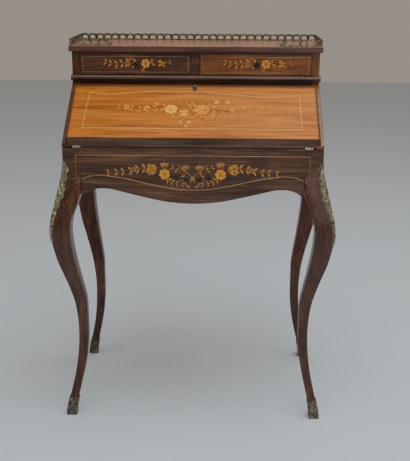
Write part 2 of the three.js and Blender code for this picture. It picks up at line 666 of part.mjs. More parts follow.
for (const [name, side] of Object.entries(sideNames)) {
  const length = galleryFar - galleryNear - 2 * galleryThickness;
  const strip = galleryStrip(length, 0, prismX, spanX(side, galleryX - galleryThickness, galleryX)[0]);
  strip.translate(0, galleryNear + galleryThickness, slabTop);
  add(`gallery_side_${name}`, strip, gilt);
  const turned = galleryAlongX(returnLength, returnTail, galleryNear);
  if (side > 0) {
    turned.rotateZ(Math.PI);
    turned.translate(0, 2 * galleryNear + galleryThickness, 0);
  }
  add(`gallery_return_${name}`, turned, gilt);
}

export default desk;
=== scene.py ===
"""A slant-front writing desk with floral marquetry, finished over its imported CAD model."""

import math

import bpy
from mathutils import Matrix, Vector


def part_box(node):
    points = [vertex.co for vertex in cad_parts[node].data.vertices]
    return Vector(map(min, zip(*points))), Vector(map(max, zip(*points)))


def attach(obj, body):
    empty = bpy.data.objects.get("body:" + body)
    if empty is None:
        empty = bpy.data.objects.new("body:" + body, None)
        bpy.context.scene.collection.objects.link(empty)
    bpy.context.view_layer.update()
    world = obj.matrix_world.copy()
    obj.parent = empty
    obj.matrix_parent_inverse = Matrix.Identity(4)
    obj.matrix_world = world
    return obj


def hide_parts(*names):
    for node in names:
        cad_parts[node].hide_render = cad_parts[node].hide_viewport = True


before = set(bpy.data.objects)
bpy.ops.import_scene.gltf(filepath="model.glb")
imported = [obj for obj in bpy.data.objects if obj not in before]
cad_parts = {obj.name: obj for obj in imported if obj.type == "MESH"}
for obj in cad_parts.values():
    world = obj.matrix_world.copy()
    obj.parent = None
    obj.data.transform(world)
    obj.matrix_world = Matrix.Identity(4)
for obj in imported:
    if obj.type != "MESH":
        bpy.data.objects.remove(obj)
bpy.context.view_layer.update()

bl_info = {
    "name": "Slant-front desk",
    "version": (1, 0, 0),
    "blender": (4, 5, 0),
    "location": "3D View > Sidebar > Desk",
    "description": "Builds the finishes, inlay, linings and mounts of a slant-front writing desk",
    "category": "Object",
}

MM = 0.001


def low_corner(node):
    """The lowest corner of a CAD node at rest in millimetres, rounded off its mesh's single precision."""
    return [round(v / MM, 4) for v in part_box(node)[0]]


def high_corner(node):
    """The highest corner of a CAD node at rest in millimetres, rounded in the same way."""
    return [round(v / MM, 4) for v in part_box(node)[1]]


# The case in millimetres, in the row frame: x across, y from the front to the back, z up
FRONT_Y = low_corner("apron_front")[1]
BACK_Y = high_corner("back_panel")[1]
DRAWER_Y = low_corner("drawer_left_front")[1]
CASE_HALF = high_corner("side_panel_right")[0]
POST = CASE_HALF - high_corner("apron_front")[0]
RAIL_TOP = high_corner("writing_bed")[2]

# The fall, which leans back over its hinge pin
PIN_OUT = 2.5
PIN_LIFT = 0.2
PIN_Y = FRONT_Y - PIN_OUT
PIN_Z = RAIL_TOP + PIN_LIFT
SLANT_RISE = 128.9
SLANT = math.atan2(SLANT_RISE, DRAWER_Y - FRONT_Y)
FALL_THICKNESS = 19.3

# From the left drawer's inlay to the right one's
DRAWER_SHIFT = 315.8


def linear(colour):
    """A hex colour in sRGB as linear RGBA. A colour from the sidebar is linear already."""
    if not isinstance(colour, str):
        return tuple(colour)
    values = [int(colour[i:i + 2], 16) / 255 for i in (1, 3, 5)]
    return tuple(v / 12.92 if v <= 0.04045 else ((v + 0.055) / 1.055) ** 2.4 for v in values) + (1.0,)


def colour_setting(name, description, text):
    """A colour that the sidebar shows, given in hex."""
    return bpy.props.FloatVectorProperty(
        name=name, description=description, subtype="COLOR", size=4, min=0.0, max=1.0, default=linear(text))


# Sizes and colours that the sidebar shows
class DeskInlay(bpy.types.PropertyGroup):
    """Sizes of the inlaid lines and flowers"""

    line_width: bpy.props.FloatProperty(
        name="Line width", description="Width of the light stringing lines", default=2.0 * MM, unit="LENGTH")
    stem_width: bpy.props.FloatProperty(
        name="Stem width", description="Width of the flower stems", default=1.2 * MM, unit="LENGTH")
    lift: bpy.props.FloatProperty(
        name="Lift", description="Height of the inlay over the veneer round it", default=0.12 * MM,
        unit="LENGTH")


class DeskTrim(bpy.types.PropertyGroup):
    """Sizes of the linings, legs and mounts"""

    leather: bpy.props.FloatProperty(
        name="Fall leather", description="Thickness of the leather on the fall", default=0.9 * MM,
        unit="LENGTH")
    bed_leather: bpy.props.FloatProperty(
        name="Bed leather", description="How far the let-in leather stands over the bed", default=0.12 * MM,
        unit="LENGTH")
    leg_steps: bpy.props.IntProperty(
        name="Leg steps", description="Rings along each leg", default=150, min=20)
    mount_steps: bpy.props.IntProperty(
        name="Mount steps", description="Rings along each knee mount", default=120, min=20)


class DeskStage(bpy.types.PropertyGroup):
    """Camera, light and floor"""

    lens: bpy.props.FloatProperty(name="Lens", description="Focal length in millimetres", default=66.94)
    key_power: bpy.props.FloatProperty(
        name="Key power", description="Power of the overhead soft light", default=88.0, unit="POWER")
    fill_power: bpy.props.FloatProperty(
        name="Fill power", description="Power of the front soft light", default=16.0, unit="POWER")
    sky: bpy.props.FloatProperty(name="Sky", description="Strength of the even light all round", default=0.5)
    floor: bpy.props.FloatProperty(
        name="Floor", description="Width of the square floor", default=14.0, unit="LENGTH")


class DeskColours(bpy.types.PropertyGroup):
    """Middle tones of the main finishes, and the colours of the floor and the even light"""

    fall: colour_setting("Fall", "Middle tone of the fall's veneer", "#AE660F")
    apron: colour_setting("Aprons", "Middle tone of the aprons' veneer", "#4F3424")
    side: colour_setting("Sides", "Middle tone of the case sides", "#734520")
    leg: colour_setting("Legs", "Middle tone of the solid legs", "#4A281A")
    bronze: colour_setting("Gallery", "Middle tone of the gallery's bronze", "#6C6048")
    leather: colour_setting("Leather", "Lighter tone of the linings", "#502E1F")
    floor: colour_setting("Floor", "Colour of the floor", "#CEDAE4")
    sky: colour_setting("Sky", "Colour of the even light", "#D6CABC")


def per_mm(size):
    """Texture scale whose features are about this many millimetres across."""
    return 1000.0 / size


def add_node(tree, kind, inputs=None, stops=(), **settings):
    """Adds a node, sets its properties and colour stops, and fills or links inputs by name or number."""
    node = tree.nodes.new(kind)
    for key, value in settings.items():
        setattr(node, key, value)
    if stops:
        elements = node.color_ramp.elements
        while len(elements) < len(stops):
            elements.new(0.5)
        for element, (position, colour) in zip(elements, stops):
            element.position = position
            element.color = linear(colour)
    for key, value in (inputs or {}).items():
        if isinstance(value, bpy.types.NodeSocket):
            tree.links.new(value, node.inputs[key])
        else:
            node.inputs[key].default_value = value
    return node


# Numbers of a colour Mix node's sockets: how much, under and over, and the result
MIX_SHARE, MIX_UNDER, MIX_OVER = 0, 6, 7
MIX_RESULT = 2


def new_shader(name):
    """A material with only its output and principled shader, and the object coordinates."""
    material = bpy.data.materials.new(name)
    material.use_nodes = True
    tree = material.node_tree
    tree.nodes.clear()
    shader = add_node(tree, "ShaderNodeBsdfPrincipled")
    add_node(tree, "ShaderNodeOutputMaterial", {"Surface": shader.outputs["BSDF"]})
    where = add_node(tree, "ShaderNodeTexCoord").outputs["Object"]
    return material, tree, shader, where


def grain_noise(tree, where, grain, across, along, inputs):
    """Noise drawn out along the grain, with features of two sizes in millimetres."""
    scale = [per_mm(across)] * 3
    scale["xyz".index(grain)] = per_mm(along)
    stretched = add_node(tree, "ShaderNodeMapping", {"Vector": where, "Scale": scale}).outputs["Vector"]
    return add_node(tree, "ShaderNodeTexNoise", {"Vector": stretched, "Scale": 1.0, **inputs}).outputs["Fac"]


def paint_light_across(tree, where, colour, low, high, left, right):
    """The colour under painted light and shade that change from left to right, between two places in
    millimetres.
    """
    split = add_node(tree, "ShaderNodeSeparateXYZ", {0: where})
    share = add_node(tree, "ShaderNodeMapRange", {
        "Value": split.outputs["X"], "From Min": low * MM, "From Max": high * MM})
    wash = add_node(tree, "ShaderNodeValToRGB", {"Fac": share.outputs[0]}, [(0.0, left), (1.0, right)])
    return add_node(tree, "ShaderNodeMix", {
        MIX_SHARE: 1.0, MIX_UNDER: colour, MIX_OVER: wash.outputs["Color"]},
        data_type="RGBA", blend_type="MULTIPLY").outputs[MIX_RESULT]


def darker_where_turned(tree, level, colour, facing, away, start, end):
    """The colour only on faces that look along a direction, and two darker tones on those that turn away."""
    normal = add_node(tree, "ShaderNodeTexCoord").outputs["Normal"]
    dot = add_node(tree, "ShaderNodeVectorMath", {0: normal, 1: facing}, operation="DOT_PRODUCT")
    turned = add_node(tree, "ShaderNodeMapRange", {
        "Value": dot.outputs["Value"], "From Min": start, "From Max": end, "To Min": 1.0, "To Max": 0.0})
    ends = (FIGURE_STOPS[0], FIGURE_STOPS[-1])
    beside = add_node(tree, "ShaderNodeValToRGB", {"Fac": level}, list(zip(ends, away)))
    return add_node(tree, "ShaderNodeMix", {
        MIX_SHARE: turned.outputs[0], MIX_UNDER: colour, MIX_OVER: beside.outputs["Color"]},
        data_type="RGBA").outputs[MIX_RESULT]


def paint_edge_shade(tree, where, colour, half, top, soft, dark):
    """The colour darkened by painted shade over the last millimetres before its two side edges and its top
    one.
    """
    split = add_node(tree, "ShaderNodeSeparateXYZ", {0: where})
    across = add_node(tree, "ShaderNodeMath", {0: split.outputs["X"]}, operation="ABSOLUTE").outputs[0]
    near = []
    for place, edge in ((across, half), (split.outputs["Z"], top)):
        near.append(add_node(tree, "ShaderNodeMapRange", {
            "Value": place, "From Min": (edge - soft) * MM, "From Max": edge * MM, "To Max": EDGE_SHADE_SHARE}))
    share = add_node(tree, "ShaderNodeMath", {0: near[0].outputs[0], 1: near[1].outputs[0]},
                     operation="MAXIMUM")
    return add_node(tree, "ShaderNodeMix", {
        MIX_SHARE: share.outputs[0], MIX_UNDER: colour, MIX_OVER: linear(dark)},
        data_type="RGBA").outputs[MIX_RESULT]


# Pores are drawn wider and longer than real ones, which would be too fine to show
PORE_WIDTH = 0.8
PORE_LENGTH = 16.0
# Radius that takes the hardness off the CAD pieces' arrises
ARRIS_SOFTNESS = 0.7
# Where a wood's dark, middle and light tones lie, and what its broad figure and its streaks add to them
FIGURE_STOPS = (0.36, 0.5, 0.64)
BROAD_SHARE = 0.58
STREAK_SHARE = 0.42
# How far the painted edge shade covers the wood's own colour at the very edge
EDGE_SHADE_SHARE = 0.9


def wood(name, colours, grain="x", figure=22.0, rough=0.3, coat=0.5, light_wash=None, turned=None, edge_shading=None,
         varnish="#FFFFFF"):
    """A polished wood with long figure, fine pores and a slight sheen."""
    material, tree, shader, where = new_shader(name)
    broad = grain_noise(tree, where, grain, figure, 9 * figure, {
        "Detail": 5.0, "Roughness": 0.62, "Distortion": 0.9})
    streak = grain_noise(tree, where, grain, 0.16 * figure, 5 * figure, {"Detail": 3.0, "Roughness": 0.55})
    pores = grain_noise(tree, where, grain, PORE_WIDTH, PORE_LENGTH, {"Detail": 2.0})
    streaks = add_node(tree, "ShaderNodeMath", {0: streak, 1: STREAK_SHARE}, operation="MULTIPLY")
    level = add_node(tree, "ShaderNodeMath", {0: broad, 1: BROAD_SHARE, 2: streaks.outputs[0]},
                     operation="MULTIPLY_ADD").outputs[0]
    figured = add_node(tree, "ShaderNodeValToRGB", {"Fac": level}, list(zip(FIGURE_STOPS, colours)))
    pore = add_node(tree, "ShaderNodeMapRange", {
        "Value": pores, "From Min": 0.3, "From Max": 0.46, "To Min": 0.72, "To Max": 1.0})
    colour = add_node(tree, "ShaderNodeMix", {
        MIX_SHARE: 1.0, MIX_UNDER: figured.outputs["Color"], MIX_OVER: pore.outputs[0]},
        data_type="RGBA", blend_type="MULTIPLY").outputs[MIX_RESULT]
    # Painted light and shade, multiplied in from left to right
    if light_wash:
        colour = paint_light_across(tree, where, colour, *light_wash)
    if turned:
        colour = darker_where_turned(tree, level, colour, *turned)
    # Painted shade along the edges
    if edge_shading:
        colour = paint_edge_shade(tree, where, colour, *edge_shading)
    tree.links.new(colour, shader.inputs["Base Color"])
    gloss = add_node(tree, "ShaderNodeMapRange", {
        "Value": broad, "To Min": rough - 0.06, "To Max": rough + 0.1})
    tree.links.new(gloss.outputs[0], shader.inputs["Roughness"])
    edges = add_node(tree, "ShaderNodeBevel", {"Radius": ARRIS_SOFTNESS * MM}, samples=3)
    bump = add_node(tree, "ShaderNodeBump", {
        "Height": pores, "Strength": 0.12, "Distance": 0.1 * MM, "Normal": edges.outputs[0]})
    tree.links.new(bump.outputs[0], shader.inputs["Normal"])
    shader.inputs["Specular IOR Level"].default_value = 0.36
    shader.inputs["Specular Tint"].default_value = linear(varnish)
    shader.inputs["Coat Weight"].default_value = coat
    shader.inputs["Coat Roughness"].default_value = 0.16
    return material


def metal(name, bright, worn, dark, rough=0.42):
    """Cast metal with a patina in clouds about 9 mm across and a slightly pitted skin."""
    material, tree, shader, where = new_shader(name)
    cloud = add_node(tree, "ShaderNodeTexNoise", {
        "Vector": where, "Scale": per_mm(9.0), "Detail": 6.0, "Roughness": 0.65}).outputs["Fac"]
    colour = add_node(tree, "ShaderNodeValToRGB", {"Fac": cloud}, [(0.34, dark), (0.5, worn), (0.66, bright)])
    tree.links.new(colour.outputs["Color"], shader.inputs["Base Color"])
    shader.inputs["Metallic"].default_value = 0.85
    gloss = add_node(tree, "ShaderNodeMapRange", {
        "Value": cloud, "To Min": rough + 0.14, "To Max": rough - 0.1})
    tree.links.new(gloss.outputs[0], shader.inputs["Roughness"])
    pits = add_node(tree, "ShaderNodeTexNoise", {"Vector": where, "Scale": per_mm(1.6), "Detail": 3.0})
    bump = add_node(tree, "ShaderNodeBump", {
        "Height": pits.outputs["Fac"], "Strength": 0.25, "Distance": 0.2 * MM})
    tree.links.new(bump.outputs[0], shader.inputs["Normal"])
    return material


def leather(name, dark, light):
    """Writing leather with a pebbled grain, its pebbles drawn about 1.4 mm wide so that they show."""
    material, tree, shader, where = new_shader(name)
    cloud = add_node(tree, "ShaderNodeTexNoise", {"Vector": where, "Scale": per_mm(60.0), "Detail": 4.0})
    colour = add_node(tree, "ShaderNodeValToRGB", {"Fac": cloud.outputs["Fac"]},
                      [(0.35, dark), (0.65, light)])
    tree.links.new(colour.outputs["Color"], shader.inputs["Base Color"])
    shader.inputs["Roughness"].default_value = 0.5
    pebble = add_node(tree, "ShaderNodeTexVoronoi", {"Vector": where, "Scale": per_mm(1.4)})
    bump = add_node(tree, "ShaderNodeBump", {
        "Height": pebble.outputs["Distance"], "Strength": 0.3, "Distance": 0.2 * MM})
    tree.links.new(bump.outputs[0], shader.inputs["Normal"])
    return material


def inlay_wood(name, foot, tip):
    """Stained inlay veneer, scorched darker towards the foot and along one side of each petal or leaf."""
    material, tree, shader, where = new_shader(name)
    shade = add_node(tree, "ShaderNodeAttribute", attribute_name="shade").outputs["Fac"]
    grain = grain_noise(tree, where, "x", 1.2, 9.0, {"Detail": 3.0})
    mixed = add_node(tree, "ShaderNodeMath", {0: grain, 1: 0.5, 2: shade}, operation="MULTIPLY_ADD")
    level = add_node(tree, "ShaderNodeMath", {0: mixed.outputs[0], 1: 0.25}, operation="SUBTRACT").outputs[0]
    colour = add_node(tree, "ShaderNodeValToRGB", {"Fac": level}, [(0.0, foot), (0.75, tip)])
    tree.links.new(colour.outputs["Color"], shader.inputs["Base Color"])
    shader.inputs["Roughness"].default_value = 0.36
    shader.inputs["Specular IOR Level"].default_value = 0.2
    shader.inputs["Specular Tint"].default_value = linear(SHELLAC)
    shader.inputs["Coat Weight"].default_value = 0.02
    return material


def floor_paint(name, colour, rough):
    """An even, matt floor whose sheen changes in patches about half a metre wide."""
    material, tree, shader, where = new_shader(name)
    shader.inputs["Base Color"].default_value = linear(colour)
    cloud = add_node(tree, "ShaderNodeTexNoise", {"Vector": where, "Scale": per_mm(500.0), "Detail": 5.0})
    gloss = add_node(tree, "ShaderNodeMapRange", {
        "Value": cloud.outputs["Fac"], "To Min": rough - 0.08, "To Max": rough + 0.08})
    tree.links.new(gloss.outputs[0], shader.inputs["Roughness"])
    return material


MATERIALS = {}
SHELLAC = "#FFD8A4"
FALL_OUTWARDS = (0.0, -math.sin(SLANT), math.cos(SLANT))
UPWARDS = (0.0, 0.0, 1.0)

# Painted light and shade from left to right, as if light fell from the right: two places across, and the
# colour multiplied in at each
FALL_LIGHT_WASH = (-300, 300, "#EFE2D6", "#FFF0F4")
SIDE_SHADE_WASH = (-330, 330, "#A69282", "#FFFFFF")

# Main direction, tones of the faces that turn away from it, and where the change starts and ends
# The fall's faces that turn away from its outward slope, its front band and rounded edges, take darker tones:
# partly a darker edge wood, partly painted shade
FALL_TURNED = (FALL_OUTWARDS, ("#382A26", "#64504A"), 0.62, 0.9)
TOP_TURNED = (UPWARDS, ("#402820", "#664638"), 0.3, 0.9)

# Half width and top height of the fall's outer face, width of the painted shade along its edges, and the
# shade's tone
FALL_EDGE_SHADE = (313, 868, 6, "#3E2A20")


def make_woods(colours):
    """The veneers, the solid woods and the light lines."""
    apron_tones = ("#2C1A10", colours.apron, "#705038")
    return {
        # Light rosewood under shellac: amber, with edges darker, partly from a darker edge wood and partly
        # from painted shade, and painted light making its right end a little paler
        "fall": wood("Polished light rosewood", ("#7C4010", colours.fall, "#C68022"), "x", 30, 0.38, 0.04,
                     FALL_LIGHT_WASH, FALL_TURNED, FALL_EDGE_SHADE, SHELLAC),
        # Rosewood gone dark: brown streaks, nearly black between, along the apron and the leg blocks
        "apron": wood("Polished dark rosewood", apron_tones, "x", 20, 0.34, 0.2),
        # The same veneer on the side aprons, where its grain runs front to back
        "apron_side": wood("Polished dark side rosewood", apron_tones, "y", 20, 0.34, 0.2),
        # Left drawer front, with narrow dark brown streaks
        "drawer_left": wood("Brown rosewood", ("#2C180C", "#4E2F1C", "#6C4428"), "x", 16, 0.34, 0.25),
        # Right drawer front, redder and lighter
        "drawer_right": wood("Red rosewood", ("#45230B", "#70401C", "#8E572A"), "x", 16, 0.34, 0.25),
        # Case sides with upright grain, the left one darker and browner with painted shade, as light falls
        # from the right
        "side": wood("Side rosewood", ("#54321A", colours.side, "#8C5930"), "z", 24, 0.34, 0.15, SIDE_SHADE_WASH),
        # Solid walnut legs, stained red-brown, with the grain along them and a soft shine
        "leg": wood("Solid walnut", ("#2A130A", colours.leg, "#663C28"), "z", 18, 0.36, 0.22),
        # Walnut mouldings and rails, the darkest wood, with a clear shine
        "rail": wood("Moulding walnut", ("#26130B", "#42271A", "#5E3C28"), "x", 14, 0.32, 0.3),
        # Top board, paler on its upper face and darker on its moulded edge, by which way each face turns
        "top": wood("Top rosewood", ("#5C3520", "#8A5C40", "#A87656"), "x", 22, 0.3, 0.3, turned=TOP_TURNED),
        # Plain waxed wood inside, dull and yellow-brown
        "inner": wood("Waxed inner wood", ("#6E4A2A", "#8E6540", "#A57C54"), "x", 18, 0.5, 0.1),
        # Boxwood lines: bright yellow on the fall, and gone tan on the dark veneers
        "line_fall": wood("Box line on the fall", ("#E2A248", "#F4BA62", "#FFD07C"), "x", 8, 0.36, 0.05),
        "line_dark": wood("Aged box line", ("#8A6238", "#B0854F", "#C49C68"), "x", 8, 0.34, 0.2),
    }


def make_metals(colours):
    """The bronze, brass, iron and gold."""
    return {
        # Gallery, gilding worn off: grey-brown with dull yellow rubbed places
        "bronze": metal("Aged gallery bronze", "#94886A", colours.bronze, "#342C20"),
        # Returns of the gallery, rubbed paler than the rest
        "bronze_light": metal("Rubbed bronze", "#A09A7E", "#787058", "#403A2A"),
        # Knee mounts, grey-green where the bronze has weathered
        "bronze_green": metal("Verdigris bronze", "#B2AC8E", "#807C64", "#38382C"),
        # Shoes, the darkest of the bronze
        "bronze_dark": metal("Dark shoe bronze", "#90887A", "#665E52", "#302B24"),
        # Hinges, tarnished to grey
        "hinge": metal("Grey hinge brass", "#A8A698", "#807E70", "#48463E", 0.35),
        # Stays and knob, yellower, as they are kept inside
        "brass": metal("Aged brass", "#A89868", "#857648", "#4A4026", 0.35),
        # Lock and key plate, dark grey and dull
        "iron": metal("Lock iron", "#6E6A60", "#4A463E", "#26241E", 0.45),
        # Gold leaf pressed into the leather's border
        "tooling": metal("Gold tooling", "#D8B468", "#C09A50", "#8A6A34", 0.35),
    }


def make_inlay_woods():
    """The marquetry woods, each from the tone at a petal's scorched foot to the one at its tip."""
    return {
        # Flowers and leaves of the fall, stained yellow to orange so that they stay close to its veneer
        "rose": inlay_wood("Pale rose inlay", "#B86008", "#FFB224"),
        "lily": inlay_wood("Yellow inlay", "#BC6C08", "#FFC02C"),
        "pansy": inlay_wood("Orange inlay", "#8E3C04", "#F29020"),
        "white": inlay_wood("White holly inlay", "#C08028", "#FFC858"),
        "soft": inlay_wood("Faded inlay", "#A8560C", "#FA9E28"),
        "leaf": inlay_wood("Faded leaf inlay", "#7A4008", "#E8942C"),
        # Flowers and leaves of the apron and the drawers, tan and dull against the dark veneer
        "ochre": inlay_wood("Ochre inlay", "#8A4E18", "#E0A048"),
        "bud": inlay_wood("Dull bud inlay", "#6E4426", "#BC8A58"),
        "pale_leaf": inlay_wood("Pale leaf inlay", "#7A522A", "#C89858"),
        "tulip": inlay_wood("Tulip inlay", "#9A5420", "#E8A85C"),
        # Green-stained leaves gone nearly black
        "dark_leaf": inlay_wood("Dark green leaf inlay", "#221E18", "#4C483A"),
    }


def make_materials(colours):
    """Every finish of the desk, each made once."""
    MATERIALS.update(make_woods(colours))
    MATERIALS.update(make_metals(colours))
    MATERIALS.update(make_inlay_woods())
    # Brown writing leather, a little polished by use
    MATERIALS["leather"] = leather("Tooled brown leather", "#42251A", colours.leather)
    MATERIALS["floor"] = floor_paint("Pale floor", colours.floor, 0.6)


def new_mesh_object(name, points, faces, materials, indices=None, shades=None):
    """A mesh object from points in millimetres, with a material for each face and a shade for each point."""
    mesh = bpy.data.meshes.new(name)
    mesh.from_pydata([tuple(v * MM for v in p) for p in points], [], faces)
    for material in materials:
        mesh.materials.append(material)
    if indices:
        mesh.polygons.foreach_set("material_index", indices)
    if shades:
        mesh.attributes.new("shade", "FLOAT", "POINT").data.foreach_set("value", shades)
    mesh.validate()
    mesh.update()
    obj = bpy.data.objects.new(name, mesh)
    bpy.context.scene.collection.objects.link(obj)
    return obj


# Places on the desk: each turns (across, up, out) in millimetres into a point of the row frame
def on_fall(across, up, out):
    """On the fall's outer face, up its slope from the hinge pin."""
    depth = FALL_THICKNESS + out
    y = PIN_Y + up * math.cos(SLANT) - depth * math.sin(SLANT)
    z = PIN_Z + up * math.sin(SLANT) + depth * math.cos(SLANT)
    return (across, y, z)


def inside_fall(across, up, out):
    """On the fall's inner face, across from right to left, so that faces still point outwards."""
    y = PIN_Y + up * math.cos(SLANT) + out * math.sin(SLANT)
    z = PIN_Z + up * math.sin(SLANT) - out * math.cos(SLANT)
    return (-across, y, z)


def on_apron(across, up, out):
    """On the front apron and, past its ends, on the swelling leg blocks."""
    swell = max(0.0, leg_column(up, REACH, KNEE)) if abs(across) > CASE_HALF - POST else 0.0
    return (across, FRONT_Y - out - swell, up)


def on_drawer(across, up, out):
    """On the front of either small drawer."""
    return (across, DRAWER_Y - out, up)


def on_bed(across, back, out):
    """On the writing bed, back from the case's front."""
    return (across, FRONT_Y + back, RAIL_TOP + out)


def on_side(side):
    """The place function of the left case side, -1, or of the right one, 1."""
    def place(across, up, out):
        return (side * (CASE_HALF + out), FRONT_Y - side * across, up)
    return place


def over(place, thickness):
    """The place function of the top of a lining that lies at another place."""
    def raised(across, up, out):
        return place(across, up, thickness + max(0.0, out))
    return raised


RIBBON = "Flat ribbon along edges"


def ribbon_tree():
    """Node group that turns edges into flat ribbons, built once: inputs Width, Height and Material."""
    if RIBBON in bpy.data.node_groups:
        return bpy.data.node_groups[RIBBON]
    tree = bpy.data.node_groups.new(RIBBON, "GeometryNodeTree")
    sockets = tree.interface
    sockets.new_socket("Geometry", in_out="INPUT", socket_type="NodeSocketGeometry")
    for name in ("Width", "Height"):
        socket = sockets.new_socket(name, in_out="INPUT", socket_type="NodeSocketFloat")
        socket.subtype = "DISTANCE"
    sockets.new_socket("Material", in_out="INPUT", socket_type="NodeSocketMaterial")
    sockets.new_socket("Geometry", in_out="OUTPUT", socket_type="NodeSocketGeometry")
    source = add_node(tree, "NodeGroupInput")
    curve = add_node(tree, "GeometryNodeMeshToCurve", {"Mesh": source.outputs["Geometry"]})
    upright = add_node(tree, "GeometryNodeSetCurveNormal", {"Curve": curve.outputs[0]}, mode="Z_UP")
    profile = add_node(tree, "GeometryNodeCurvePrimitiveQuadrilateral", {
        "Width": source.outputs["Width"], "Height": source.outputs["Height"]})
    swept = add_node(tree, "GeometryNodeCurveToMesh", {
        "Curve": upright.outputs[0], "Profile Curve": profile.outputs[0], "Fill Caps": True})
    real = add_node(tree, "GeometryNodeRealizeInstances", {"Geometry": swept.outputs[0]})
    coloured = add_node(tree, "GeometryNodeSetMaterial", {
        "Geometry": real.outputs[0], "Material": source.outputs["Material"]})
    out = add_node(tree, "NodeGroupOutput")
    tree.links.new(coloured.outputs[0], out.inputs[0])
    return tree


def ribbons(name, lines, width, height, material, place, body):
    """Flat lines through lists of (across, up) points, swept by the node group and laid on the desk."""
    points = []
    edges = []
    for line in lines:
        start = len(points)
        points.extend((across * MM, up * MM, 0.0) for across, up in line)
        edges.extend((start + i, start + i + 1) for i in range(len(line) - 1))
        if line[0] == line[-1]:
            points.pop()
            edges[-1] = (len(points) - 1, start)
    mesh = bpy.data.meshes.new(name)
    mesh.from_pydata(points, edges, [])
    obj = bpy.data.objects.new(name, mesh)
    bpy.context.scene.collection.objects.link(obj)
    modifier = obj.modifiers.new("Ribbon", "NODES")
    modifier.node_group = ribbon_tree()
    items = modifier.node_group.interface.items_tree
    identifiers = {item.name: item.identifier for item in items if item.in_out == "INPUT"}
    modifier[identifiers["Width"]] = width
    modifier[identifiers["Height"]] = height
    modifier[identifiers["Material"]] = MATERIALS[material]
    bpy.context.view_layer.update()
    done = bpy.data.meshes.new_from_object(obj.evaluated_get(bpy.context.evaluated_depsgraph_get()))
    obj.modifiers.clear()
    obj.data = done
    for vertex in done.vertices:
        vertex.co = Vector(place(*(vertex.co / MM))) * MM
    done.update()
    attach(obj, body)
    return obj


def smooth_line(points, steps=8):
    """A smooth line through the points."""
    line = []
    for i in range(len(points) - 1):
        before = Vector(points[max(0, i - 1)])
        start = Vector(points[i])
        end = Vector(points[i + 1])
        after = Vector(points[min(len(points) - 1, i + 2)])
        for k in range(steps):
            t = k / steps
            point = 0.5 * ((2 * start) + (end - before) * t
                           + (2 * before - 5 * start + 4 * end - after) * t * t
                           + (3 * start - before - 3 * end + after) * t ** 3)
            line.append((point.x, point.y))
    line.append(tuple(points[-1]))
    return line


# Heights over the veneer in millimetres: the lowest petal, each layer of a flower, and the centre discs
PETAL_RISE = 0.08
LAYER_RISE = 0.05
DISC_RISE = 0.13
# Each petal's own small rise, one of several in turn, so that neighbours that cross aren't in one plane
OWN_RISE = 0.005
OWN_RISES = 9
PETAL_STEPS = 9
DISC_SIDES = 12
# Half width of a petal at its tip in millimetres, and at its foot as a share of its whole width
TIP_HALF = 0.02
FOOT_SHARE = 0.12
# How much of its brightness a petal keeps on its scorched side
SCORCH_SHARE = 0.45


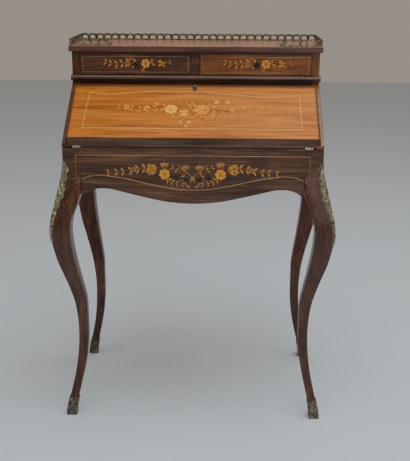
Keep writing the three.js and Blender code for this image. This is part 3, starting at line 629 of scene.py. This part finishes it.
class Inlay:
    """Collects petals, leaves and discs of one picture in flat (across, up) millimetres."""

    def __init__(self):
        self.points = []
        self.faces = []
        self.kinds = []
        self.shades = []
        self.keys = []
        self.stems = []

    def kind(self, key):
        """The slot of a wood in this picture."""
        if key not in self.keys:
            self.keys.append(key)
        return self.keys.index(key)

    def blade(self, key, x, y, angle, length, width, layer=0, blunt=0.8, bend=0.0):
        """A petal or leaf from its foot, with a width that swells and closes again."""
        start = len(self.points)
        own = OWN_RISE * (start // (2 * PETAL_STEPS + 2) % OWN_RISES)
        rise = PETAL_RISE + LAYER_RISE * layer + own
        cos, sin = math.cos(angle), math.sin(angle)
        for i in range(PETAL_STEPS + 1):
            t = i / PETAL_STEPS
            half = 0.5 * width * math.sin(math.pi * min(1.0, t ** blunt)) + TIP_HALF
            if i == 0:
                half = FOOT_SHARE * width
            for side in (1, -1):
                along = length * t
                across = side * half + bend * length * t * t
                self.points.append((x + along * cos - across * sin, y + along * sin + across * cos, rise))
                self.shades.append(t if side > 0 else SCORCH_SHARE * t)
        for i in range(PETAL_STEPS):
            k = start + 2 * i
            self.faces.append((k + 1, k + 3, k + 2, k))
            self.kinds.append(self.kind(key))

    def disc(self, key, x, y, radius, layer=3, shade=0.3):
        """The round centre of a flower."""
        start = len(self.points)
        rise = DISC_RISE + LAYER_RISE * layer
        for i in range(DISC_SIDES):
            t = 2 * math.pi * i / DISC_SIDES
            self.points.append((x + radius * math.cos(t), y + radius * math.sin(t), rise))
            self.shades.append(shade)
        self.faces.append(tuple(range(start, start + DISC_SIDES)))
        self.kinds.append(self.kind(key))

    def bloom(self, key, x, y, radius, count=5, wide=0.95, turn=0.3, eye="dark_leaf"):
        """An open flower with one round of petals."""
        for i in range(count):
            self.blade(key, x, y, turn + 2 * math.pi * i / count, radius, wide * radius, i % 2, 1.5)
        self.disc(eye, x, y, 0.16 * radius)

    def rose(self, key, x, y, radius, turn=0.2):
        """A full flower with three rounds of petals."""
        for ring, (reach, count, wide) in enumerate(((1.0, 7, 0.86), (0.72, 6, 0.66), (0.42, 4, 0.5))):
            for i in range(count):
                self.blade(key, x, y, turn + 0.5 * ring + 2 * math.pi * i / count, reach * radius,
                           wide * radius, 2 * ring + i % 2, 1.7)
        self.disc(key, x, y, 0.14 * radius, 6, 0.1)

    def cup(self, key, x, y, radius, angle):
        """A flower seen from the side, with three petals."""
        for turn, layer in ((-0.55, 0), (0.55, 0), (0.0, 1)):
            self.blade(key, x, y, angle + turn, radius, 0.55 * radius, layer, 1.0)

    def leaves(self, key, x, y, angle, length, count=3, spread=0.75):
        """A fan of leaves, longest in its middle."""
        for i in range(count):
            place = i - (count - 1) / 2
            self.blade(key, x, y, angle + spread * place, length * (1.0 - 0.22 * abs(place)), 0.36 * length,
                       i % 2)

    def spray(self, key, points, length, pairs):
        """A stem with pairs of leaves that shrink towards its tip."""
        path = smooth_line(points, 10)
        self.stems.append(path)
        for i in range(pairs):
            share = (i + 0.6) / pairs
            k = min(len(path) - 2, int(share * (len(path) - 1)))
            (x0, y0), (x1, y1) = path[k], path[k + 1]
            along = math.atan2(y1 - y0, x1 - x0)
            size = length * (1.0 - 0.4 * share)
            for side in (1, -1):
                self.blade(key, x0, y0, along + side * 0.75, size, 0.4 * size, 0, 0.9, 0.1 * side)

    def build(self, name, place, body, stem, stem_width, lift):
        """Lays the picture on the desk, and its stems as ribbons."""
        obj = new_mesh_object(name, [place(*p) for p in self.points], self.faces,
                              [MATERIALS[k] for k in self.keys], self.kinds, self.shades)
        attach(obj, body)
        ribbons(name + "_stems", self.stems, stem_width, 2 * lift, stem, place, body)
        return obj


# The finish of a CAD node by how its name starts: the first that fits counts, and the rest are inner wood
FINISH_BY_NAME = (
    ("leg_", "leg"), ("apron_back", "rail"), ("apron_front", "apron"), ("apron_", "apron_side"),
    ("side_panel", "side"), ("back_panel", "rail"), ("fall_board", "fall"),
    ("drawer_left_front", "drawer_left"), ("drawer_right_front", "drawer_right"),
    ("drawer_divider", "rail"), ("drawer_floor", "rail"), ("drawer_", "inner"),
    ("lock_rail", "rail"), ("lock_", "iron"), ("waist", "rail"), ("top_rail", "rail"), ("top_slab", "top"),
    ("gallery_return", "bronze_light"), ("gallery", "bronze"), ("sabot", "bronze_dark"),
    ("chute", "bronze_green"), ("escutcheon", "iron"), ("hinge", "hinge"), ("stay", "brass"),
    ("inner_drawer_knob", "brass"))


class DESK_OT_finishes(bpy.types.Operator):
    """Give every CAD piece its wood or metal"""

    bl_idname = "desk.finishes"
    bl_label = "Finishes"

    def execute(self, context):
        make_materials(context.scene.desk_colours)
        for name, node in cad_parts.items():
            found = [material for start, material in FINISH_BY_NAME if name.startswith(start)]
            node.data.materials.clear()
            node.data.materials.append(MATERIALS[found[0] if found else "inner"])
        return {"FINISHED"}


# The leg outline: height, outward reach and width as shares of the rail height, knee and post
LEG_SHARES = (
    (0, 0.45, 0.51), (0.034, 0.365, 0.5), (0.068, 0.19, 0.49), (0.109, -0.03, 0.49), (0.163, -0.3, 0.5),
    (0.217, -0.49, 0.53), (0.272, -0.6, 0.545), (0.326, -0.63, 0.59), (0.38, -0.57, 0.64),
    (0.435, -0.41, 0.7), (0.489, -0.11, 0.77), (0.543, 0.25, 0.86), (0.598, 0.63, 0.98),
    (0.652, 0.89, 1.04), (0.686, 1, 1.08), (0.72, 1, 1.07), (0.761, 0.86, 1.09), (0.802, 0.6, 1.18),
    (0.842, 0.38, 1.22), (0.885, 0.15, 1.09), (0.925, 0, 1), (0.96, 0, 1), (1, 0, 1))
REACH = 1
WIDTH = 2
KNEE = 31.5


def leg_column(z, column, size):
    """Reads the leg outline at a height along the same smooth curve as the CAD leg."""
    rows = LEG_SHARES
    last = len(rows) - 1
    share = z / RAIL_TOP
    i = 0
    while i < last - 1 and share > rows[i + 1][0]:
        i += 1
    span = rows[i + 1][0] - rows[i][0]
    t = min(1.0, max(0.0, (share - rows[i][0]) / span))

    def slope(k):
        if k <= 0 or k >= last:
            return 0.0
        return (rows[k + 1][column] - rows[k - 1][column]) / (rows[k + 1][0] - rows[k - 1][0])

    t2, t3 = t * t, t * t * t
    value = ((2 * t3 - 3 * t2 + 1) * rows[i][column] + (t3 - 2 * t2 + t) * span * slope(i)
             + (3 * t2 - 2 * t3) * rows[i + 1][column] + (t3 - t2) * span * slope(i + 1))
    return value * size


def loft(name, rings, materials):
    """Closes a stack of rings, listed upwards, into one body."""
    count = len(rings[0])
    points = [p for ring in rings for p in ring]
    faces = []
    for r in range(len(rings) - 1):
        for k in range(count):
            a = r * count + k
            b = r * count + (k + 1) % count
            faces.append((a, b, b + count, a + count))
    faces.append(tuple(reversed(range(count))))
    faces.append(tuple(range((len(rings) - 1) * count, len(rings) * count)))
    return new_mesh_object(name, points, faces, materials)


def at_corner(ring, side, rear):
    """A ring drawn with its outward sides along +x +y, taken to a case corner and kept anticlockwise."""
    depth = 1 if rear else -1
    face = BACK_Y if rear else FRONT_Y
    moved = [(side * (x + CASE_HALF), depth * y + face, z) for x, y, z in ring]
    return moved if side * depth > 0 else moved[::-1]


def shade_by_angle(obj, degrees):
    """Smooth shading, but sharp over edges that turn more than an angle."""
    obj.data.shade_smooth()
    obj.data.set_sharp_from_angle(angle=math.radians(degrees))


# Rounding of the legs' arrises: most of the way, on the block's outer corner, and where an apron meets it
ARRIS = 2.4
BLOCK_ARRIS = 1.6
JOINT_ARRIS = 0.2
QUARTER_STEPS = 4
# Heights where the rounding at the aprons starts to tighten, over how much, and where the inner and the
# outer corners change
JOINT_LOW = 612
JOINT_RUN = 14
INNER_LOW = 620
OUTER_LOW = 690
# The leg block carries the aprons' veneer from this height up
BLOCK_LOW = 652
# The front legs stop under the hinges' case leaves
LEAF_ROOM = 2.1
# Edges that turn more than this many degrees stay sharp
LEG_SHARP = 40
MOUNT_SHARP = 50


def leg_ring(z):
    """The leg's rounded outline at a height, with its outward sides along +x and +y."""
    far = leg_column(z, REACH, KNEE)
    near = max(-POST, far - leg_column(z, WIDTH, POST))
    outer = BLOCK_ARRIS if z > OUTER_LOW else ARRIS
    joint = max(JOINT_ARRIS, ARRIS - (ARRIS - JOINT_ARRIS) * max(0.0, z - JOINT_LOW) / JOINT_RUN)
    inner = joint if z > INNER_LOW else ARRIS
    turns = [t * math.pi / 2 / QUARTER_STEPS for t in range(QUARTER_STEPS + 1)]
    quarter = [(1 - math.cos(turn), 1 - math.sin(turn)) for turn in turns]
    ring = []
    for x, y, in_x, in_y, radius, flip in (
            (far, far, -1, -1, outer, False), (near, far, 1, -1, joint, True),
            (near, near, 1, 1, inner, False), (far, near, -1, 1, joint, True)):
        arc = [(x + in_x * radius * a, y + in_y * radius * b, z) for a, b in quarter]
        ring.extend(arc[::-1] if flip else arc)
    return ring


class DESK_OT_legs(bpy.types.Operator):
    """Smooth cabriole legs in place of the stepped CAD ones"""

    bl_idname = "desk.legs"
    bl_label = "Legs"

    def execute(self, context):
        steps = context.scene.desk_trim.leg_steps
        for end, rear in (("front", False), ("back", True)):
            for name, side in (("left", -1), ("right", 1)):
                low = low_corner(f"leg_{end}_{name}")[2]
                high = RAIL_TOP - (0 if rear else LEAF_ROOM)
                heights = [low + (high - low) * i / steps for i in range(steps + 1)]
                rings = [at_corner(leg_ring(z), side, rear) for z in heights]
                leg = loft(f"cabriole_leg_{end}_{name}", rings,
                           [MATERIALS[key] for key in ("leg", "apron", "apron_side")])
                for face in leg.data.polygons:
                    if not rear and face.center.z > BLOCK_LOW * MM:
                        face.material_index = 1 if abs(face.normal.y) > abs(face.normal.x) else 2
                shade_by_angle(leg, LEG_SHARP)
                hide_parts(f"leg_{end}_{name}")
                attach(leg, "carcass")
        return {"FINISHED"}


def rect(x0, x1, y0, y1):
    """A closed rectangle of (across, up) points."""
    return [(x0, y0), (x1, y0), (x1, y1), (x0, y1), (x0, y0)]


# Line widths as shares of the fall's, drawer stems as a share of its stems, crossed stems of its line
APRON_LINE_SHARE = 0.85
DRAWER_LINE_SHARE = 0.8
DRAWER_STEM_SHARE = 0.8
CROSSED_STEM_SHARE = 0.7


def fall_line():
    """The line round the fall, with a waved top."""
    foot_left = (-278, 49)
    foot_right = (272, 49)
    top = smooth_line([(-272, 180), (-219, 175), (-160, 181), (-100, 186.5), (-40, 187), (20, 184), (90, 176),
                       (150, 168.5), (200, 165.5), (240, 169.5), (270, 173)])
    return [foot_left] + top + [foot_right, foot_left]


def apron_line():
    """The line round the apron, which follows its shaped lower edge."""
    half = [(0, 629.3), (30, 629.7), (75, 636), (120, 645.6), (164, 656), (211, 663), (231, 665),
            (250, 663.5), (265, 660), (279, 654), (291, 644)]
    corner = (292, 716)
    low = smooth_line([(-x, z) for x, z in reversed(half)] + half[1:], 5)
    return low + [corner, (-corner[0], corner[1]), low[0]]


def drawer_line(shift):
    """The line round a small drawer's front, moved across by a shift."""
    far, near = -297, -18.8
    low, high = 899.5, 939.5
    return rect(far + shift, near + shift, low, high)


def side_line(side):
    """The line round a case side, under its sloping front edge."""
    front, slope_end, back = 24, 204, 361
    low, slope_low, slope_high, high = 751, 763, 882, 938
    line = [(front, low), (back, low), (back, high), (slope_end, high), (slope_end, slope_high),
            (front, slope_low), (front, low)]
    return [(-side * depth, up) for depth, up in line]


class DESK_OT_lines(bpy.types.Operator):
    """Light stringing lines on the fall, the apron, the drawer fronts and the case sides"""

    bl_idname = "desk.lines"
    bl_label = "Stringing"

    def execute(self, context):
        width = context.scene.desk_inlay.line_width
        height = 2 * context.scene.desk_inlay.lift
        ribbons("fall_stringing", [fall_line()], width, height, "line_fall", on_fall, "fall")
        ribbons("apron_stringing", [apron_line()], width * APRON_LINE_SHARE, height, "line_dark", on_apron,
                "carcass")
        for name, shift in (("left", 0.0), ("right", DRAWER_SHIFT)):
            ribbons(f"drawer_stringing_{name}", [drawer_line(shift)], width * DRAWER_LINE_SHARE, height,
                    "line_dark", on_drawer, f"{name}_drawer")
        for name, side in (("left", -1), ("right", 1)):
            ribbons(f"side_stringing_{name}", [side_line(side)], width * APRON_LINE_SHARE, height,
                    "line_dark", on_side(side), "carcass")
        return {"FINISHED"}


def fall_picture():
    """The fall's bouquet: a rose, a lily and a pansy in its middle, and a long spray to each side."""
    fall = Inlay()
    for points, length, pairs in (
            ([(-40, 112), (-80, 126), (-120, 116), (-160, 124), (-190, 128)], 19, 8),
            ([(-10, 100), (40, 120), (90, 112), (140, 122), (192, 118)], 17, 9),
            ([(5, 95), (30, 78), (52, 82), (58, 98)], 12, 5),
            ([(-20, 100), (-32, 84), (-18, 62)], 10, 3),
            ([(0, 118), (-8, 138), (-34, 146)], 13, 4),
            ([(20, 122), (36, 142), (60, 148), (84, 148)], 12, 5)):
        fall.spray("leaf", points, length, pairs)
    for x, y, angle, length in ((-42, 96, -2.4, 16), (40, 104, -0.5, 17), (-6, 128, 1.5, 18)):
        fall.leaves("leaf", x, y, angle, length)
    for x, y, radius in ((-119.7, 122.6, 9.5), (-171, 126, 7.5), (-95, 138, 6)):
        fall.bloom("soft", x, y, radius)
    fall.bloom("white", 58, 147, 6, 5, 0.8, 0.1, "soft")
    fall.bloom("lily", 84, 147, 6.5, 5, 0.8, 0.5, "soft")
    for x, y, radius, count in ((99, 118, 7, 5), (128, 124, 6, 4), (172, 121, 5.5, 4)):
        fall.bloom("soft", x, y, radius, count)
    for x, y, radius in ((-31, 73, 4.6), (-11, 73, 4.6), (-18, 58, 4.2)):
        fall.bloom("white", x, y, radius, 4, 0.9, 0.4, "lily")
    fall.rose("rose", -58, 119, 17)
    lily = (-25, 106)
    for turn in (-2.3, -1.5, -0.7, 0.6, 1.5, 2.5):
        fall.blade("lily", *lily, turn, 14, 6.5, 2, 0.9)
    fall.disc("pansy", *lily, 2.6, 4, 0.5)
    pansy = (20.7, 117)
    for turn, reach in ((0.15, 20), (1.15, 18), (2.1, 18), (3.1, 19), (4.1, 17), (5.25, 17)):
        fall.blade("pansy", *pansy, turn, reach, 0.98 * reach, int(turn) % 2, 1.9)
    for turn in (0.6, 1.9, 3.2, 4.7):
        fall.blade("lily", *pansy, turn, 9, 6, 3, 1.4)
    fall.disc("pansy", *pansy, 2.4, 5, 0.1)
    return fall


def apron_picture():
    """The apron's two flower sprays, one the mirror image of the other."""
    apron = Inlay()
    up = math.pi / 2
    for side in (-1, 1):
        for points, length, pairs in (
                ([(84, 676), (120, 684), (165, 676), (214, 672)], 18, 8),
                ([(24, 636), (-4, 654), (-34, 676), (-52, 688)], 13, 5),
                ([(66, 660), (50, 648), (24, 643)], 12, 4)):
            apron.spray("pale_leaf", [(side * x, y) for x, y in points], length, pairs)
        apron.leaves("dark_leaf", side * 20, 650, up + side * 0.9, 22, 3, 0.7)
        apron.leaves("dark_leaf", side * 42, 656, up + side * 0.4, 18, 3, 0.8)
        apron.leaves("pale_leaf", side * 104, 676, -up + side * 0.5, 12, 3, 0.8)
        apron.rose("ochre", side * 70, 669, 14, 0.3 * side)
        apron.cup("bud", side * 70, 684, 17, up)
        apron.bloom("ochre", side * 103.5, 684, 11, 5, 0.8, 0.3 * side, "pansy")
        apron.cup("bud", side * 17.5, 678, 16, up)
        apron.blade("bud", side * 17.5, 678, -up + side * 0.4, 10, 4)
        apron.bloom("bud", side * 147, 680, 7, 5, 0.8, math.pi if side < 0 else 0.0)
    return apron


def crossed_stem(side):
    """One of the two stems that cross in the middle of the apron."""
    return smooth_line([(side * 38, 693), (side * 20, 677), (0, 662), (-side * 14, 651), (-side * 28, 645)])


def drawer_picture(shift):
    """A drawer front's dark cornflower between two sprays, moved across by a shift."""
    drawer = Inlay()
    for points, length, pairs in (
            ([(-150, 920), (-180, 924), (-210, 920), (-240, 926)], 18, 6),
            ([(-124, 920), (-104, 926), (-84, 920), (-66, 925)], 14, 4)):
        drawer.spray("pale_leaf", [(x + shift, y) for x, y in points], length, pairs)
    for turn in (0.3, 0.95, 1.7, 2.4, 3.2, 3.9, 4.7, 5.5):
        drawer.blade("dark_leaf", -155 + shift, 918, turn, 13, 6, 1)
    drawer.leaves("bud", -168 + shift, 930, 2.2, 11)
    drawer.leaves("bud", -142 + shift, 908, -0.6, 11)
    drawer.bloom("tulip", -131 + shift, 922, 12, 6, 0.8, 0.2, "pansy")
    drawer.bloom("ochre", -93 + shift, 922, 8, 5, 0.8, 0.5, "pansy")
    drawer.bloom("bud", -178 + shift, 921, 8, 5, 0.8, 0.1)
    return drawer


class DESK_OT_marquetry(bpy.types.Operator):
    """Flower sprays on the fall, the apron and the drawer fronts"""

    bl_idname = "desk.marquetry"
    bl_label = "Marquetry"

    def execute(self, context):
        sizes = context.scene.desk_inlay
        stem = sizes.stem_width
        fall_picture().build("fall_marquetry", on_fall, "fall", "leaf", stem, sizes.lift)
        apron_picture().build("apron_marquetry", on_apron, "carcass", "pale_leaf", stem, sizes.lift)
        ribbons("apron_crossed_stems", [crossed_stem(-1), crossed_stem(1)],
                sizes.line_width * CROSSED_STEM_SHARE, 2 * sizes.lift, "line_dark", on_apron, "carcass")
        for name, shift in (("left", 0.0), ("right", DRAWER_SHIFT)):
            drawer_picture(shift).build(f"drawer_marquetry_{name}", on_drawer, f"{name}_drawer", "pale_leaf",
                                        stem * DRAWER_STEM_SHARE, sizes.lift)
        return {"FINISHED"}


# A lining's eased edge, at most, and as a share of its thickness
LINING_EASE = 0.4
LINING_EASE_SHARE = 0.4
TOOLING_INSET = 10
TOOLING_WIDTH = 1.6
TOOLING_HEIGHT = 0.16
# Edges of the linings: left, right, and near and far from the front of the bed or the pin of the fall
BED_LINING = (-268, 268, 36, 222)
FALL_LINING = (-268, 268, 38, 176)


def lining(name, x0, x1, y0, y1, thickness, place, material, body):
    """A thin sheet with eased edges, laid on the desk at a place."""
    ease = min(LINING_EASE, LINING_EASE_SHARE * thickness)
    rings = []
    for inset, height in ((0, 0), (0, thickness - ease), (ease, thickness)):
        corners = rect(x0 + inset, x1 - inset, y0 + inset, y1 - inset)[:-1]
        rings.append([place(x, y, height) for x, y in corners])
    obj = loft(name, rings, [MATERIALS[material]])
    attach(obj, body)
    return obj


class DESK_OT_linings(bpy.types.Operator):
    """Leather linings of the writing bed and the fall, with a tooled border"""

    bl_idname = "desk.linings"
    bl_label = "Linings"

    def execute(self, context):
        sizes = context.scene.desk_trim
        for name, (x0, x1, y0, y1), thickness, place, body in (
                ("bed", BED_LINING, sizes.bed_leather / MM, on_bed, "carcass"),
                ("fall", FALL_LINING, sizes.leather / MM, inside_fall, "fall")):
            lining(f"{name}_leather", x0, x1, y0, y1, thickness, place, "leather", body)
            border = rect(x0 + TOOLING_INSET, x1 - TOOLING_INSET, y0 + TOOLING_INSET, y1 - TOOLING_INSET)
            ribbons(f"{name}_tooling", [border], TOOLING_WIDTH * MM, TOOLING_HEIGHT * MM, "tooling",
                    over(place, thickness), body)
        return {"FINISHED"}


# The knee mount's arm length and height over the leg, as shares from its foot to its top
MOUNT_ARM_SHARES = (0.22, 0.27, 0.33, 0.42, 0.5, 0.62, 0.78, 0.95, 1, 0.92, 0.8, 0.9, 0.42)
MOUNT_PROUD_SHARES = (0.45, 0.55, 0.7, 0.8, 0.88, 0.95, 1, 1, 0.95, 0.85, 0.7, 0.55, 0.35)
MOUNT_LOW = low_corner("chute_left")[2]
MOUNT_HIGH = high_corner("chute_left")[2]
# An arm's length at share 1, what it has more all along, and the relief's height at share 1
MOUNT_ARM = 19.0
MOUNT_ARM_MORE = 1.4
MOUNT_PROUD = 4.0
# How far the relief stays inside the CAD mount, its gap to the leg, and its edge's thickness
MOUNT_INSIDE = 0.6
MOUNT_GAP = 0.5
MOUNT_EDGE = 0.25
# Leaf lobes from foot to top, where the first starts, how far veins lean out, and points across an arm
LOBES = 9
LOBE_START = 0.12
VEIN_LEAN = 1.6
ARM_POINTS = 9


def read_shares(table, share):
    """Reads evenly spaced shares in straight lines, at a place from 0 to 1."""
    at = share * (len(table) - 1)
    i = min(len(table) - 2, int(at))
    return table[i] + (table[i + 1] - table[i]) * (at - i)


def wave(turns):
    """A wave that goes from 1 down to 0 and back once in each turn."""
    return 0.5 + 0.5 * math.cos(2 * math.pi * turns)


def mount_ring(share):
    """The knee mount's outline at a share of its height: two arms with leaf relief round a corner."""
    z = MOUNT_LOW + (MOUNT_HIGH - MOUNT_LOW) * share
    inner = leg_column(z, REACH, KNEE) + MOUNT_GAP
    proud = MOUNT_PROUD * read_shares(MOUNT_PROUD_SHARES, share) - MOUNT_INSIDE
    arm = MOUNT_ARM * read_shares(MOUNT_ARM_SHARES, share) + MOUNT_ARM_MORE
    lobe = wave(LOBES * share - LOBE_START)
    reach = arm * (0.8 + 0.2 * lobe)
    relief = []
    for k in range(ARM_POINTS, 0, -1):
        t = k / ARM_POINTS
        vein = wave(LOBES * share + VEIN_LEAN * t)
        relief.append((reach * t, proud * (1 - t ** 2.2) * (0.62 + 0.38 * vein) + MOUNT_EDGE))
    ridge = inner + proud * (0.86 + 0.14 * lobe)
    tip = ridge - reach
    ring = [(ridge, ridge, z)]
    ring += [(ridge - along, inner + lift, z) for along, lift in reversed(relief)]
    ring += [(tip, inner, z), (inner, inner, z), (inner, tip, z)]
    ring += [(inner + lift, ridge - along, z) for along, lift in relief]
    return ring


class DESK_OT_mounts(bpy.types.Operator):
    """Cast knee mounts with leaf relief in place of the plain CAD angles"""

    bl_idname = "desk.mounts"
    bl_label = "Knee mounts"

    def execute(self, context):
        steps = context.scene.desk_trim.mount_steps
        for name, side in (("left", -1), ("right", 1)):
            rings = [at_corner(mount_ring(i / steps), side, False) for i in range(steps + 1)]
            mount = loft(f"knee_mount_{name}", rings, [MATERIALS["bronze_green"]])
            shade_by_angle(mount, MOUNT_SHARP)
            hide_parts(f"chute_{name}")
            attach(mount, "carcass")
        return {"FINISHED"}


# Middle of the desk in metres, where the lights are aimed
DESK_MIDDLE = (0.0, 0.0, 0.6)

# The photograph's camera: its place from the case's front in millimetres, and which way it looks
CAMERA_PLACE = (86.86, -2086.03, 1161.66)
CAMERA_AHEAD = (-0.02526, 0.95593, -0.29251)
CAMERA_UP = (-0.01179, 0.29230, 0.95625)
SENSOR_WIDTH = 36.0
CAMERA_REACH = 50.0


def soft_light(name, size, power, place):
    """A soft light of a size in metres, aimed at the desk."""
    data = bpy.data.lights.new(name, "AREA")
    data.shape = "RECTANGLE"
    data.size, data.size_y = size
    data.energy = power
    light = bpy.data.objects.new(name, data)
    bpy.context.scene.collection.objects.link(light)
    light.location = place
    light.rotation_euler = (Vector(DESK_MIDDLE) - light.location).to_track_quat("-Z", "Y").to_euler()
    return light


def photograph_camera(lens):
    """The camera that the photograph was taken with, solved from it."""
    data = bpy.data.cameras.new("Photograph camera")
    data.lens = lens
    data.sensor_width = SENSOR_WIDTH
    data.clip_end = CAMERA_REACH
    camera = bpy.data.objects.new("Photograph camera", data)
    bpy.context.scene.collection.objects.link(camera)
    ahead = Vector(CAMERA_AHEAD).normalized()
    right = ahead.cross(Vector(CAMERA_UP)).normalized()
    up = right.cross(ahead)
    turn = Matrix((right, up, -ahead)).transposed().to_4x4()
    x, y, z = CAMERA_PLACE
    camera.matrix_world = Matrix.Translation(Vector((x, y + FRONT_Y, z)) * MM) @ turn
    return camera


class DESK_OT_stage(bpy.types.Operator):
    """Floor, soft light and the camera of the photograph"""

    bl_idname = "desk.stage"
    bl_label = "Stage"

    def execute(self, context):
        sizes = context.scene.desk_stage
        half = sizes.floor / MM / 2
        corners = [(x, y, 0) for x, y in rect(-half, half, -half, half)[:-1]]
        floor = new_mesh_object("floor", corners, [(0, 1, 2, 3)], [MATERIALS["floor"]])
        world = bpy.data.worlds.new("Even studio light")
        world.use_nodes = True
        background = world.node_tree.nodes["Background"]
        background.inputs["Color"].default_value = linear(context.scene.desk_colours.sky)
        background.inputs["Strength"].default_value = sizes.sky
        context.scene.world = world
        key = soft_light("Overhead soft light", size=(3.4, 2.6), power=sizes.key_power,
                         place=(0.45, -0.6, 3.2))
        fill = soft_light("Front soft light", size=(2.0, 2.0), power=sizes.fill_power,
                          place=(1.1, -3.0, 1.7))
        context.scene.camera = photograph_camera(sizes.lens)
        return {"FINISHED"}


class DESK_PT_sidebar(bpy.types.Panel):
    """The desk's steps, sizes and colours"""

    bl_idname = "DESK_PT_sidebar"
    bl_label = "Slant-front desk"
    bl_space_type = "VIEW_3D"
    bl_region_type = "UI"
    bl_category = "Desk"

    def draw(self, context):
        for step in STEPS:
            self.layout.operator(step.bl_idname)
        for name in GROUPS:
            group = getattr(context.scene, name)
            for key in group.__annotations__:
                self.layout.prop(group, key)


GROUPS = {"desk_inlay": DeskInlay, "desk_trim": DeskTrim, "desk_stage": DeskStage,
          "desk_colours": DeskColours}
STEPS = (DESK_OT_finishes, DESK_OT_legs, DESK_OT_lines, DESK_OT_marquetry, DESK_OT_linings, DESK_OT_mounts,
         DESK_OT_stage)


def register():
    """Adds the desk's classes and hangs its sizes and colours on the scene."""
    for kind in (*GROUPS.values(), *STEPS, DESK_PT_sidebar):
        bpy.utils.register_class(kind)
    for name, kind in GROUPS.items():
        setattr(bpy.types.Scene, name, bpy.props.PointerProperty(type=kind))


def unregister():
    """Takes them off again."""
    for name in GROUPS:
        delattr(bpy.types.Scene, name)
    for kind in (DESK_PT_sidebar, *reversed(STEPS), *reversed(list(GROUPS.values()))):
        bpy.utils.unregister_class(kind)


def main():
    """Registers the classes and runs every step."""
    register()
    bpy.ops.desk.finishes()
    bpy.ops.desk.legs()
    bpy.ops.desk.lines()
    bpy.ops.desk.marquetry()
    bpy.ops.desk.linings()
    bpy.ops.desk.mounts()
    bpy.ops.desk.stage()


if __name__ == "__main__":
    main()
